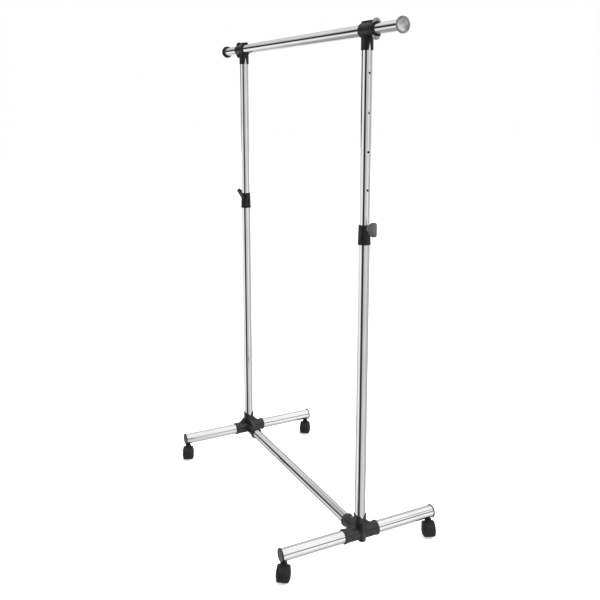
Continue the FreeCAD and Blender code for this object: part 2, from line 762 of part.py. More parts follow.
for thing in doc.Objects:
    if "Invalid" in thing.State or "Error" in thing.State:
        raise RuntimeError(f"{thing.Label} did not compute: {thing.State} {thing.getStatusString()}")
for body in made:
    if body.Shape.isNull() or not body.Shape.isValid():
        raise RuntimeError(f"{body.Label} has no valid shape")
    if len(body.Shape.Solids) != 1:
        raise RuntimeError(f"{body.Label} is {len(body.Shape.Solids)} solids")
    body.Shape.exportStep(f"parts/{body.Label}.step")
    print(body.Label, round(body.Shape.Volume, 1))
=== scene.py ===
"""The rolling garment rack: detailed pieces, materials, studio and camera on its CAD frame.

Metres, in the CAD frame: z = 0 is the floor, X runs along the hanging rail and Y along the
feet, and the near side is +X. Each joint piece is built once about its own joint centre
with its outboard side along +X, and set down on the near and, turned half round, the far
upright. Chrome tubes, stems, axles and screws stay as the CAD nodes they are.
"""

import math

import bmesh
import bpy
from mathutils import Matrix, Vector


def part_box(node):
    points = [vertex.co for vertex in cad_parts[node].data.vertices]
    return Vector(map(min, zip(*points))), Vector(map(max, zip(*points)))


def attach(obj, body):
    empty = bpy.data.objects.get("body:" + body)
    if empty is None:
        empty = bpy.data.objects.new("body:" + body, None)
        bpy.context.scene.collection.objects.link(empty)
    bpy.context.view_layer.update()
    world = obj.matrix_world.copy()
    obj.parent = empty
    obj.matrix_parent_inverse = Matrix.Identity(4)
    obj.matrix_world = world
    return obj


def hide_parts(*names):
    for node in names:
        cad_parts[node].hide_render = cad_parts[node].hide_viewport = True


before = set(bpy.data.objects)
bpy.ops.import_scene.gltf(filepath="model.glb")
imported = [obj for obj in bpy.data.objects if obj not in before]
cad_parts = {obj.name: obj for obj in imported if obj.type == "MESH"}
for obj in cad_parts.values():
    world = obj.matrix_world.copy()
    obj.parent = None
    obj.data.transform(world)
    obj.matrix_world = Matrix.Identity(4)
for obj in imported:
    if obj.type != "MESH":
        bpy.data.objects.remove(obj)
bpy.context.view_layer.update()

MM = 0.001
SIDES = {"near": 1, "far": -1}
ENDS = {"left": -1, "right": 1}


# ---------------------------------------------------------------- sizes from the frame

def span(node):
    """How far a CAD node reaches along each axis."""
    low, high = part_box(node)
    return high - low


def centre(node):
    """The middle of a CAD node's box."""
    low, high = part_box(node)
    return (low + high) / 2


UPRIGHT = centre("lower_upright_near").x
FOOT_HEIGHT = centre("foot_tube_near").z
RAIL_HEIGHT = centre("main_rail").z
COLLAR_HEIGHT = centre("height_collar_near").z
KNOB_HEIGHT = centre("wing_knob_near").z
FOOT_RADIUS = span("foot_tube_near").x / 2
LOWER_RADIUS = span("lower_upright_near").x / 2
UPPER_RADIUS = span("upper_upright_near").x / 2
RAIL_RADIUS = span("main_rail").y / 2
EXTENSION_RADIUS = span("extension_rail_near").y / 2
BRACE_RADIUS = span("bottom_rail").y / 2
WHEEL_RADIUS = span("caster_near_left_wheel_a").z / 2
FIT = 0.1 * MM
# The wall thickness of a moulded sleeve around its tube.
SKIN = 2.2 * MM
# From an upright's axis to where its thumb screw's hub meets the collar's boss.
KNOB_SEAT = 18 * MM
# The radii of the thumb screws' hubs, of their shanks and of the holes around them.
KNOB_HUB = 6.5 * MM
KNOB_SHANK = 3 * MM
SHANK_HOLE = KNOB_SHANK + FIT / 2
# The radii of the caster stems' and axles' holes.
STEM_HOLE = 3.05 * MM
AXLE_HOLE = 2.55 * MM
# How far each thumb screw's wing leans from upright about its own axis.
KNOB_LEAN = {"near": 0.0, "far": math.radians(-31)}


# ---------------------------------------------------------------- mesh helpers

def on_axis(axis, along, first, second):
    """A point from its distance along an axis and its two distances across it."""
    if axis == "X":
        return Vector((along, first, second))
    if axis == "Y":
        return Vector((first, along, second))
    return Vector((first, second, along))


def rounded(corners, radius, steps=4):
    """The closed outline through the corners, with each corner eased into a curve."""
    eased = []
    for k, corner in enumerate(corners):
        here = Vector(corner)
        before = Vector(corners[k - 1]) - here
        after = Vector(corners[(k + 1) % len(corners)]) - here
        start = here + before.normalized() * min(radius, before.length * 0.45)
        end = here + after.normalized() * min(radius, after.length * 0.45)
        for step in range(steps + 1):
            t = step / steps
            eased.append((1 - t) ** 2 * start + 2 * t * (1 - t) * here + t ** 2 * end)
    return eased


def turned(profile, axis, steps=96):
    """A solid turned about an axis from a closed outline of (along, radius) corners."""
    bm = bmesh.new()
    rings = []
    for k in range(steps):
        angle = math.tau * k / steps
        rings.append([
            bm.verts.new(on_axis(axis, along, r * math.cos(angle), r * math.sin(angle)))
            for along, r in profile
        ])
    for k in range(steps):
        ring, following = rings[k], rings[(k + 1) % steps]
        for i in range(len(profile)):
            j = (i + 1) % len(profile)
            bm.faces.new((ring[i], ring[j], following[j], following[i]))
    bmesh.ops.remove_doubles(bm, verts=bm.verts, dist=1e-6)
    bmesh.ops.recalc_face_normals(bm, faces=bm.faces)
    return bm


def rod(axis, start, end, radius, mouth=0.0):
    """A turned cylinder, or as a cutter a bore whose two mouths open out by a chamfer."""
    return turned([
        (start, 0), (start, radius + mouth), (start + mouth, radius),
        (end - mouth, radius), (end, radius + mouth), (end, 0),
    ], axis)


def slab(outline, axis, low, high):
    """A plate with the given outline across an axis, from low to high along it."""
    bm = bmesh.new()
    faces = [
        bm.faces.new([bm.verts.new(on_axis(axis, along, *corner)) for corner in outline])
        for along in (low, high)
    ]
    lower, upper = (list(face.verts) for face in faces)
    for k in range(len(outline)):
        j = (k + 1) % len(outline)
        bm.faces.new((lower[k], lower[j], upper[j], upper[k]))
    bmesh.ops.recalc_face_normals(bm, faces=bm.faces)
    return bm


def shifted(solid, x=0.0, y=0.0, z=0.0):
    """The same solid moved by some distances."""
    bmesh.ops.translate(solid, verts=solid.verts, vec=(x, y, z))
    return solid


def mesh_object(name, *solids):
    """One object that holds the meshes of all the given solids."""
    whole = bmesh.new()
    for solid in solids:
        spare = bpy.data.meshes.new("spare")
        solid.to_mesh(spare)
        solid.free()
        whole.from_mesh(spare)
        bpy.data.meshes.remove(spare)
    mesh = bpy.data.meshes.new(name)
    whole.to_mesh(mesh)
    whole.free()
    piece = bpy.data.objects.new(name, mesh)
    bpy.context.scene.collection.objects.link(piece)
    return piece


def settle(piece, crease=38):
    """Apply the modifiers, then shade smoothly with sharp edges where faces turn far."""
    depsgraph = bpy.context.evaluated_depsgraph_get()
    mesh = bpy.data.meshes.new_from_object(piece.evaluated_get(depsgraph))
    piece.modifiers.clear()
    piece.data = mesh
    mesh.shade_smooth()
    mesh.set_sharp_from_angle(angle=math.radians(crease))


def bored(piece, bores):
    """Cut each bore out of the piece, then settle its mesh."""
    cutters = []
    for bore in bores:
        cutter = mesh_object("bore", bore)
        cut = piece.modifiers.new("bore", "BOOLEAN")
        cut.operation = "DIFFERENCE"
        cut.solver = "EXACT"
        cut.object = cutter
        cutters.append(cutter)
    settle(piece)
    for cutter in cutters:
        bpy.data.objects.remove(cutter)
    return piece


def moulded(name, solids, bores, grain=0.7 * MM):
    """A moulded piece: its solids grown together with soft inner corners, then bored."""
    piece = mesh_object(name, *solids)
    fuse = piece.modifiers.new("fuse", "REMESH")
    fuse.mode = "VOXEL"
    fuse.voxel_size = grain
    soften = piece.modifiers.new("soften", "SMOOTH")
    soften.factor = 0.5
    soften.iterations = 4
    return bored(piece, bores)


def set_down(pattern, node, where, body, materials):
    """Put a copy of a finished piece at its place, standing for one CAD node."""
    piece = bpy.data.objects.new(f"{node}_piece", pattern.data.copy())
    bpy.context.scene.collection.objects.link(piece)
    for material in materials:
        piece.data.materials.append(material)
    piece.matrix_world = where
    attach(piece, body)
    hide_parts(node)
    return piece


def shade_where(pattern, index, chosen):
    """Give the faces whose middle and normal satisfy a test the material at an index."""
    for face in pattern.data.polygons:
        if chosen(face.center, face.normal):
            face.material_index = index


def discard(pattern):
    """Remove a pattern once its copies are set down."""
    bpy.data.objects.remove(pattern)


def joint_place(side, height, lean=0.0):
    """Where a joint piece goes: on an upright's axis, outboard side out, leaned about X."""
    half_turn = 0.0 if side > 0 else math.pi
    return (Matrix.Translation((side * UPRIGHT, 0, height))
            @ Matrix.Rotation(half_turn, 4, "Z") @ Matrix.Rotation(lean, 4, "X"))


# ---------------------------------------------------------------- material helpers

def new_material(name, colour, metallic, roughness, specular=0.5):
    """A new material, with its node tree and its shader."""
    material = bpy.data.materials.new(name)
    material.use_nodes = True
    shader = material.node_tree.nodes["Principled BSDF"]
    shader.inputs["Base Color"].default_value = (*colour, 1)
    shader.inputs["Metallic"].default_value = metallic
    shader.inputs["Roughness"].default_value = roughness
    shader.inputs["Specular IOR Level"].default_value = specular
    return material, material.node_tree, shader


def noise(tree, scale, detail=3.0, stretch=(1, 1, 1)):
    """A noise over the piece, in lumps per metre, drawn out along the axes by stretch."""
    place = tree.nodes.new("ShaderNodeTexCoord")
    mapping = tree.nodes.new("ShaderNodeMapping")
    mapping.inputs["Scale"].default_value = stretch
    texture = tree.nodes.new("ShaderNodeTexNoise")
    texture.inputs["Scale"].default_value = scale
    texture.inputs["Detail"].default_value = detail
    tree.links.new(place.outputs["Object"], mapping.inputs["Vector"])
    tree.links.new(mapping.outputs["Vector"], texture.inputs["Vector"])
    return texture.outputs["Fac"]


def ramp(tree, source, stops):
    """Colours over a value: stops are (position, colour) pairs."""
    node = tree.nodes.new("ShaderNodeValToRGB")
    node.color_ramp.interpolation = "EASE"
    elements = node.color_ramp.elements
    while len(elements) < len(stops):
        elements.new(0.5)
    for element, (position, colour) in zip(elements, stops):
        element.position = position
        element.color = (*colour, 1)
    tree.links.new(source, node.inputs["Fac"])
    return node.outputs["Color"]


def spread(tree, source, low, high, between=(0.3, 0.7)):
    """A value moved from between two numbers to between low and high."""
    node = tree.nodes.new("ShaderNodeMapRange")
    node.inputs["From Min"].default_value = between[0]
    node.inputs["From Max"].default_value = between[1]
    node.inputs["To Min"].default_value = low
    node.inputs["To Max"].default_value = high
    tree.links.new(source, node.inputs["Value"])
    return node.outputs["Result"]


def mixed(tree, share, first, second):
    """Two colours mixed by a share from a socket. A colour is a socket or three numbers."""
    node = tree.nodes.new("ShaderNodeMix")
    node.data_type = "RGBA"
    tree.links.new(share, node.inputs["Factor"])
    for name, colour in (("A", first), ("B", second)):
        socket = next(s for s in node.inputs if s.name == name and s.type == "RGBA")
        if isinstance(colour, tuple):
            socket.default_value = (*colour, 1)
        else:
            tree.links.new(colour, socket)
    return next(s for s in node.outputs if s.type == "RGBA")


def bump(tree, shader, height, depth, strength=1.0):
    """Raise the surface by a height texture of the given depth in metres."""
    node = tree.nodes.new("ShaderNodeBump")
    node.inputs["Strength"].default_value = strength
    node.inputs["Distance"].default_value = depth
    tree.links.new(height, node.inputs["Height"])
    tree.links.new(node.outputs["Normal"], shader.inputs["Normal"])


def edges(tree, sharpness=(0.52, 0.6)):
    """0 on flat and hollow places, rising to 1 on the outer edges of a piece."""
    geometry = tree.nodes.new("ShaderNodeNewGeometry")
    return spread(tree, geometry.outputs["Pointiness"], 0.0, 1.0, sharpness)


# ---------------------------------------------------------------- materials

def chrome(axis):
    """Bright chrome plate on drawn tube, with faint draw lines along the tube's axis."""
    along = {"X": (1, 40, 40), "Y": (40, 1, 40), "Z": (40, 40, 1)}[axis]
    material, tree, shader = new_material(f"chrome_{axis}", (0.9, 0.9, 0.9), 1.0, 0.06)
    cloud = noise(tree, 9, 2)
    plate = ramp(tree, cloud, [(0.3, (0.86, 0.865, 0.875)), (0.7, (0.94, 0.94, 0.945))])
    tree.links.new(plate, shader.inputs["Base Color"])
    lines = noise(tree, 12, 4, along)
    tree.links.new(spread(tree, lines, 0.02, 0.06), shader.inputs["Roughness"])
    bump(tree, shader, lines, depth=0.004 * MM, strength=0.5)
    return material


def steel(name, dark, light):
    """Plated steel of screws, stems and axles, with a satin, slightly stained face."""
    material, tree, shader = new_material(name, light, 1.0, 0.3)
    stain = noise(tree, 180, 4)
    tone = ramp(tree, stain, [(0.3, dark), (0.7, light)])
    tree.links.new(tone, shader.inputs["Base Color"])
    tree.links.new(spread(tree, noise(tree, 900, 2), 0.22, 0.42), shader.inputs["Roughness"])
    bump(tree, shader, stain, depth=0.02 * MM)
    return material


def plastic(name, dark, light, edge_tone, rough, grain, gloss=0.3):
    """Moulded plastic: mottled colour, a fine eroded grain, and outer edges in another tone, on
    most plastics worn lighter.
    """
    material, tree, shader = new_material(name, light, 0.0, rough, gloss)
    mottle = noise(tree, 60, 5)
    body = ramp(tree, mottle, [(0.3, dark), (0.7, light)])
    tree.links.new(mixed(tree, edges(tree), body, edge_tone), shader.inputs["Base Color"])
    scuffs = noise(tree, 240, 6)
    tree.links.new(spread(tree, scuffs, rough - 0.07, rough + 0.1), shader.inputs["Roughness"])
    bump(tree, shader, noise(tree, 2200, 2), depth=grain, strength=0.6)
    return material


CHROME = {axis: chrome(axis) for axis in "XYZ"}
STEEL = steel("steel", dark=(0.36, 0.36, 0.37), light=(0.6, 0.6, 0.6))
DARK_STEEL = steel("dark_steel", dark=(0.05, 0.05, 0.052), light=(0.1, 0.1, 0.1))
SATIN_BLACK = plastic(
    "satin_black_plastic", dark=(0.008, 0.008, 0.0085), light=(0.016, 0.016, 0.0165),
    edge_tone=(0.04, 0.04, 0.041), rough=0.3, grain=0.04 * MM, gloss=0.6)
BLACK = plastic(
    "black_plastic", dark=(0.006, 0.006, 0.0065), light=(0.011, 0.011, 0.0115),
    edge_tone=(0.024, 0.024, 0.025), rough=0.36, grain=0.03 * MM)
# The knob's edge tone is darker than its face.
KNOB = plastic(
    "knob_plastic", dark=(0.05, 0.053, 0.056), light=(0.095, 0.099, 0.103),
    edge_tone=(0.03, 0.032, 0.034), rough=0.34, grain=0.02 * MM)
EAR = plastic(
    "ring_ear", dark=(0.17, 0.175, 0.18), light=(0.26, 0.265, 0.27),
    edge_tone=(0.34, 0.345, 0.35), rough=0.34, grain=0.02 * MM)
PLUG = plastic(
    "plug_plastic", dark=(0.05, 0.05, 0.052), light=(0.085, 0.085, 0.088),
    edge_tone=(0.03, 0.03, 0.031), rough=0.45, grain=0.03 * MM)
WHEEL = plastic(
    "wheel_plastic", dark=(0.008, 0.008, 0.0085), light=(0.015, 0.015, 0.016),
    edge_tone=(0.03, 0.03, 0.031), rough=0.5, grain=0.05 * MM)
CAP_RIM = plastic(
    "cap_rim", dark=(0.1, 0.1, 0.105), light=(0.17, 0.17, 0.175),
    edge_tone=(0.22, 0.22, 0.225), rough=0.35, grain=0.03 * MM)
CAP_FACE = plastic(
    "cap_face", dark=(0.2, 0.2, 0.205), light=(0.46, 0.46, 0.47),
    edge_tone=(0.5, 0.5, 0.51), rough=0.26, grain=0.05 * MM, gloss=0.8)
# Both thumb screws are one grey plastic; the far one is given black plastic as painted shade, the
# near one is dark grey.
KNOB_SHADE_BY_SIDE = {"near": KNOB, "far": BLACK}


def paint_node(node, material):
    """Give a CAD node that stays its material."""
    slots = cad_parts[node].data.materials
    slots.clear()
    slots.append(material)


# ---------------------------------------------------------------- lower connectors

def lower_connector():
    """The moulded cross that joins a foot, an upright and the bottom rail."""
    low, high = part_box("lower_connector_near")
    half = high.y
    rim = high.x - UPRIGHT
    arm_end = low.x - UPRIGHT
    socket_top = high.z - FOOT_HEIGHT
    lug_bottom = low.z - FOOT_HEIGHT
    sleeve_radius = FOOT_RADIUS + SKIN
    arm_radius = BRACE_RADIUS + SKIN
    arm_rim = arm_radius + 2.6 * MM
    socket_radius = LOWER_RADIUS + SKIN
    socket_lip = socket_radius + 0.8 * MM
    rim_width = 3 * MM
    rim_foot = 9 * MM
    rib = 5.5 * MM
    sink = 2 * MM
    gusset_foot = 41 * MM
    gusset_bend = gusset_foot - 12 * MM
    shoulder = 34 * MM
    column = 10 * MM
    column_proud = 2.4 * MM
    lug_radius = 6 * MM
    screw_hole = 2.1 * MM

    sleeve = turned(rounded([
        (-half, 0), (-half, rim), (-half + rim_width, rim), (-half + rim_foot, sleeve_radius),
        (half - rim_foot, sleeve_radius), (half - rim_width, rim), (half, rim), (half, 0),
    ], 2 * MM), "Y")
    arm = turned(rounded([
        (0, 0), (0, arm_radius), (arm_end + 11 * MM, arm_radius),
        (arm_end + 6 * MM, arm_rim), (arm_end, arm_rim), (arm_end, 0),
    ], 2 * MM), "X")
    socket = turned(rounded([
        (0, 0), (0, socket_radius), (socket_top - 5 * MM, socket_radius),
        (socket_top - 2 * MM, socket_lip), (socket_top, socket_lip), (socket_top, 0),
    ], 1.2 * MM), "Z")
    side_rib = slab(rounded([
        (-gusset_foot, sleeve_radius - sink), (gusset_foot, sleeve_radius - sink),
        (gusset_bend, sleeve_radius + 3 * MM),
        (socket_radius + 2 * MM, shoulder), (-socket_radius - 2 * MM, shoulder),
        (-gusset_bend, sleeve_radius + 3 * MM),
    ], 6 * MM), "X", -rib, rib)
    arm_rib = slab(rounded([
        (0, arm_radius - sink), (0, shoulder), (-socket_radius - 3 * MM, shoulder),
        (arm_end + 14 * MM, arm_radius - sink),
    ], 4 * MM), "Y", -rib, rib)
    lug = rod("Z", lug_bottom, 0, lug_radius)
    front = rod("Z", lug_bottom + 2.5 * MM, shoulder + 3 * MM, column)
    shifted(front, x=rim + column_proud - column)

    notch_half = LOWER_RADIUS - 2 * MM
    notch_depth = 9 * MM
    notch = slab([
        (0, socket_top - notch_depth), (notch_half, socket_top + 2 * MM),
        (-notch_half, socket_top + 2 * MM),
    ], "X", -2 * socket_radius, 2 * socket_radius)
    return moulded("lower_connector", [sleeve, arm, socket, side_rib, arm_rib, lug, front], [
        rod("Y", -half - MM, half + MM, FOOT_RADIUS + FIT, mouth=1.6 * MM),
        rod("Z", FOOT_RADIUS, socket_top + MM, LOWER_RADIUS + FIT, mouth=1.2 * MM),
        rod("X", arm_end - MM, -FOOT_RADIUS, BRACE_RADIUS + FIT, mouth=1.6 * MM),
        rod("Z", lug_bottom - MM, -FOOT_RADIUS + MM, screw_hole),
        notch,
    ])


# ---------------------------------------------------------------- height collars and knobs

def height_collar():
    """The tapered sleeve at the top of a lower upright, with the thumb screw's boss."""
    half = span("height_collar_near").z / 2
    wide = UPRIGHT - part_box("height_collar_near")[0].x
    narrow = wide - 1.8 * MM
    boss_height = KNOB_HEIGHT - COLLAR_HEIGHT
    sleeve = turned(rounded([
        (-half, 0), (-half, wide), (-half + 3.5 * MM, wide), (-half + 4.5 * MM, wide - 0.6 * MM),
        (half - 3 * MM, narrow), (half, narrow - 1.2 * MM), (half, 0),
    ], 1.2 * MM), "Z")
    boss = shifted(rod("X", 0, KNOB_SEAT - 0.5 * MM, KNOB_HUB), z=boss_height)
    tap = shifted(rod("X", 0, KNOB_SEAT + 2 * MM, SHANK_HOLE), z=boss_height)
    return moulded("height_collar", [sleeve, boss], [
        rod("Z", -half - MM, half - 20 * MM, LOWER_RADIUS + FIT, mouth=MM),
        rod("Z", -half - MM, half + MM, UPPER_RADIUS + 3 * FIT, mouth=MM),
        tap,
    ], grain=0.6 * MM)


def wing_knob():
    """The thumb screw: a shank, a hub and a fan-shaped wing with a raised border."""
    low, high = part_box("wing_knob_near")
    tip = low.x - UPRIGHT
    outer = high.x - UPRIGHT
    reach = span("wing_knob_near").z / 2
    seat = KNOB_SEAT
    shoulder = outer - 11 * MM
    waist = KNOB_HUB - 1.5 * MM
    plate = 4.8 * MM
    corner = 6 * MM
    bevel = 1.5 * MM
    border = 2.2 * MM
    dish_start = seat + 9 * MM
    dish_depth = 0.9 * MM
    shank = turned(rounded([
        (tip, 0), (tip, KNOB_SHANK - 0.5 * MM), (tip + 0.6 * MM, KNOB_SHANK),
        (seat + 2 * MM, KNOB_SHANK), (seat + 2 * MM, 0),
    ], 0.3 * MM), "X")
    barrel = turned(rounded([
        (seat, 0), (seat, KNOB_HUB), (seat + 12 * MM, waist), (seat + 12 * MM, 0),
    ], 1.2 * MM), "X")
    fan_outline = rounded([
        (seat + MM, -waist), (shoulder, -reach), (outer - bevel, -reach + MM),
        (outer, -reach + corner), (outer, reach - corner), (outer - bevel, reach - MM),
        (shoulder, reach), (seat + MM, waist),
    ], 5 * MM)
    fan = slab(fan_outline, "Y", -plate, plate)
    dish_outline = rounded([
        (dish_start, -KNOB_HUB), (shoulder, -reach + 2 * border),
        (outer - border, -reach + 3 * border), (outer - border, reach - 3 * border),
        (shoulder, reach - 2 * border), (dish_start, KNOB_HUB),
    ], 4 * MM)
    dishes = [slab(dish_outline, "Y", plate - dish_depth, 2 * plate),
              slab(dish_outline, "Y", -2 * plate, dish_depth - plate)]
    return moulded("wing_knob", [shank, barrel, fan], dishes, grain=0.5 * MM)


# ---------------------------------------------------------------- top connectors and rings

def top_connector():
    """The moulded tee that holds the main rail on an upper upright."""
    low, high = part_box("top_connector_near")
    ridge_inner = low.x - UPRIGHT
    neck_end = high.x - UPRIGHT
    ridge_top = high.z - RAIL_HEIGHT
    socket_bottom = low.z - RAIL_HEIGHT
    sleeve_inner = ridge_inner + 3 * MM
    sleeve_outer = neck_end - 11 * MM
    rim = high.y
    rim_foot = sleeve_inner + 6 * MM
    sleeve_radius = rim - MM
    neck = RAIL_RADIUS + 1.4 * MM
    socket_radius = UPPER_RADIUS + 2 * MM
    ridge = 5.5 * MM
    notch_height = 24 * MM
    notch_half = 4.7 * MM
    body = turned(rounded([
        (sleeve_inner, 0), (sleeve_inner, rim), (sleeve_inner + 3 * MM, rim),
        (rim_foot, sleeve_radius), (sleeve_outer, sleeve_radius), (sleeve_outer, neck),
        (neck_end, neck), (neck_end, 0),
    ], 1.4 * MM), "X")
    socket = turned(rounded([
        (socket_bottom, 0), (socket_bottom, socket_radius), (0, socket_radius), (0, 0),
    ], MM), "Z")
    finger = slab(rounded([
        (ridge_inner, rim - 2 * MM), (ridge_inner, ridge_top), (sleeve_outer - 3 * MM, ridge_top),
        (sleeve_outer - 3 * MM, rim - 4 * MM), (rim_foot, rim - 4 * MM),
    ], 2 * MM), "Y", -ridge, ridge)
    notch = slab([
        (0, socket_bottom + notch_height), (-notch_half, socket_bottom - MM),
        (notch_half, socket_bottom - MM),
    ], "X", -2 * socket_radius, 2 * socket_radius)
    return moulded("top_connector", [body, socket, finger], [
        rod("X", ridge_inner - MM, neck_end + MM, RAIL_RADIUS + FIT, mouth=MM),
        rod("Z", socket_bottom - MM, 0, UPPER_RADIUS + FIT, mouth=MM),
        notch,
    ])


def lock_ring():
    """The two-lobed ring that turns on a tee's neck to clamp the extension rail."""
    low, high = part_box("lock_ring_near")
    start = low.x - UPRIGHT
    end = high.x - UPRIGHT
    reach = high.z - RAIL_HEIGHT
    radius = high.y
    lobe = 10 * MM
    lobe_start = start + 5.5 * MM
    lobe_end = lobe_start + 8 * MM
    neck_depth = 12.5 * MM
    neck_hole = RAIL_RADIUS + 1.45 * MM
    hub = turned(rounded([
        (start, 0), (start, radius), (lobe_end - 3 * MM, radius),
        (lobe_end - MM, radius - 1.5 * MM), (lobe_end - MM, 0),
    ], 1.2 * MM), "X")
    lobes = []
    for sign in (1, -1):
        knuckle = turned(rounded([
            (lobe_start, 0), (lobe_start, lobe), (lobe_end, lobe), (lobe_end, 0),
        ], 2.5 * MM), "X")
        lobes.append(shifted(knuckle, z=sign * (reach - lobe)))
    lip = rod("X", start, end, EXTENSION_RADIUS + 1.6 * MM)
    dimple = shifted(rod("X", lobe_end - 2 * MM, lobe_end + MM, 1.3 * MM), z=radius + 2.8 * MM)
    ring = moulded("lock_ring", [hub, lip, *lobes], [
        rod("X", start - MM, start + neck_depth, neck_hole),
        rod("X", start - MM, end + MM, EXTENSION_RADIUS + 3 * FIT, mouth=MM),
        dimple,
    ], grain=0.5 * MM)
    # The grey goes only on the lobes' outboard part; the hub and the lobes' inboard faces stay
    # black plastic, painted shade, so the far ring, seen from inboard, shows dark.
    shade_where(ring, 1, lambda spot, normal: spot.x > lobe_start + 1.5 * MM
                and math.hypot(spot.y, spot.z) > radius + 0.3 * MM)
    return ring


# ---------------------------------------------------------------- caps and plugs

def rail_end_cap():
    """The flared cap of an extension rail, its dished face towards +X."""
    low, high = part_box("rail_end_cap_near")
    tail = low.x - high.x
    rim = high.y
    back = -9 * MM
    inner = EXTENSION_RADIUS - 1.3 * MM
    outline = rounded([
        (tail, 0), (tail, inner - 0.8 * MM), (tail + 2 * MM, inner), (back, inner),
        (back, EXTENSION_RADIUS + 0.8 * MM), (back + 3.5 * MM, EXTENSION_RADIUS + 2.2 * MM),
        (-3.4 * MM, rim - 0.8 * MM), (-1.8 * MM, rim), (-0.3 * MM, rim - 0.6 * MM),
        (0, rim - 2 * MM), (-0.6 * MM, rim - 5 * MM), (-4.6 * MM, rim - 6.8 * MM),
        (-7.2 * MM, rim - 10.5 * MM), (-8 * MM, 0),
    ], 1.2 * MM)
    flare = -3 * MM
    dish_edge = rim - 5.4 * MM
    cap = mesh_object("rail_end_cap", turned(outline, "X"))
    settle(cap)
    shade_where(cap, 1, lambda spot, normal: spot.x > flare)
    shade_where(cap, 2, lambda spot, normal: spot.x > back and normal.x > 0.2
                and math.hypot(spot.y, spot.z) < dish_edge)
    return cap


def foot_plug():
    """The end plug of a foot tube, its domed flange towards +Y."""
    low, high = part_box("foot_plug_near_right")
    flange = span("foot_plug_near_right").x / 2 + 0.8 * MM
    tail = low.y - high.y
    lip = -3.4 * MM
    inner = FOOT_RADIUS - 1.3 * MM
    stem_inset = high.y - centre("caster_near_right_stem").y
    outline = rounded([
        (tail, 0), (tail, inner - MM), (tail + 2 * MM, inner), (lip, inner), (lip, flange),
        (-1.2 * MM, flange), (0, flange - 2.2 * MM), (-0.9 * MM, flange - 4 * MM),
        (-0.4 * MM, 0),
    ], 1.1 * MM)
    plug = mesh_object("foot_plug", turned(outline, "Y"))
    bored(plug, [shifted(rod("Z", -FOOT_RADIUS, 10 * MM, 4 * MM), y=-stem_inset)])
    face_radius = flange - 4 * MM
    shade_where(plug, 1, lambda spot, normal: math.hypot(spot.x, spot.z) > face_radius)
    return plug


# ---------------------------------------------------------------- casters

def forward_of(caster):
    """From the middle of a caster's axle to its stem's axis, along the floor."""
    axle = (centre(f"{caster}_wheel_a") + centre(f"{caster}_wheel_b")) / 2
    return (centre(f"{caster}_stem") - axle).xy


def caster_place(caster):
    """A caster's floor point under its stem, turned so that +X is its forward direction."""
    stem = centre(f"{caster}_stem")
    forward = forward_of(caster)
    turn = math.atan2(forward.y, forward.x)
    return Matrix.Translation((stem.x, stem.y, 0)) @ Matrix.Rotation(turn, 4, "Z")


TRAIL = forward_of("caster_near_left").length
CASTER_HALF = 18 * MM
WEB_HALF = 4.5 * MM


def at_axle(solid):
    """Move a solid drawn about the origin to the caster's axle."""
    return shifted(solid, x=-TRAIL, z=WHEEL_RADIUS)


def caster_hood():
    """The caster's swivelling body: a neck and a barrel-shaped shell over both wheels."""
    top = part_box("caster_near_left_hood")[1].z
    well = WHEEL_RADIUS + 0.8 * MM
    crown = well + 2.4 * MM
    side = CASTER_HALF - 1.5 * MM
    shoulder = side - 3.5 * MM
    shoulder_radius = crown - 0.7 * MM
    side_radius = crown - 2.6 * MM
    neck_radius = 9 * MM
    neck_bottom = WHEEL_RADIUS + 2 * MM
    stem_depth = 17.5 * MM
    skirt_height = 5 * MM
    clear = 50 * MM
    shell = at_axle(turned(rounded([
        (-side, 0), (-side, side_radius), (-shoulder, shoulder_radius), (0, crown),
        (shoulder, shoulder_radius), (side, side_radius), (side, 0),
    ], 2.5 * MM), "Y"))
    neck = turned(rounded([
        (neck_bottom, 0), (neck_bottom, neck_radius), (top, neck_radius), (top, 0),
    ], 1.2 * MM), "Z")
    # Everything below the hood's edge, to be cut away.
    skirt = slab([
        (-clear, -clear), (clear, -clear), (clear, neck_bottom + 4 * MM),
        (0, neck_bottom), (0, skirt_height),
        (-2 * TRAIL - 4 * MM, skirt_height), (-clear, 2 * skirt_height),
    ], "Y", -2 * side, 2 * side)
    return moulded("caster_hood", [shell, neck], [
        at_axle(rod("Y", WEB_HALF, 2 * side, well)),
        at_axle(rod("Y", -2 * side, -WEB_HALF, well)),
        skirt,
        rod("Z", top - stem_depth, top + MM, STEM_HOLE),
    ], grain=0.6 * MM)


def caster_wheel():
    """One domed wheel, its inner face at the web and its outer face towards +Y."""
    rim = WHEEL_RADIUS
    inner = WEB_HALF + 0.5 * MM
    outer = CASTER_HALF
    hub = AXLE_HOLE
    dimple_count = 6
    dimple_radius = 1.6 * MM
    reach = hub + 7 * MM
    wheel = mesh_object("caster_wheel", turned(rounded([
        (inner, hub), (inner, rim - MM), (inner + MM, rim), (outer - 9 * MM, rim),
        (outer - 8.6 * MM, rim - 0.5 * MM), (outer - 8.2 * MM, rim),
        (outer - 5 * MM, rim - 0.2 * MM), (outer - 2.6 * MM, rim - 2.4 * MM),
        (outer - 1.2 * MM, rim - 5 * MM), (outer, rim - 9 * MM),
        (outer - 0.8 * MM, rim - 10 * MM), (outer - 1.6 * MM, hub + 5 * MM),
        (outer - 0.4 * MM, hub + 4 * MM), (outer - 0.2 * MM, hub),
    ], 0.8 * MM), "Y", steps=72))
    dimples = []
    for k in range(dimple_count):
        angle = math.tau * k / dimple_count
        dimple = rod("Y", outer - 2.4 * MM, outer + MM, dimple_radius)
        dimples.append(shifted(dimple, x=reach * math.cos(angle), z=reach * math.sin(angle)))
    return bored(wheel, dimples)


# ---------------------------------------------------------------- the pieces in place

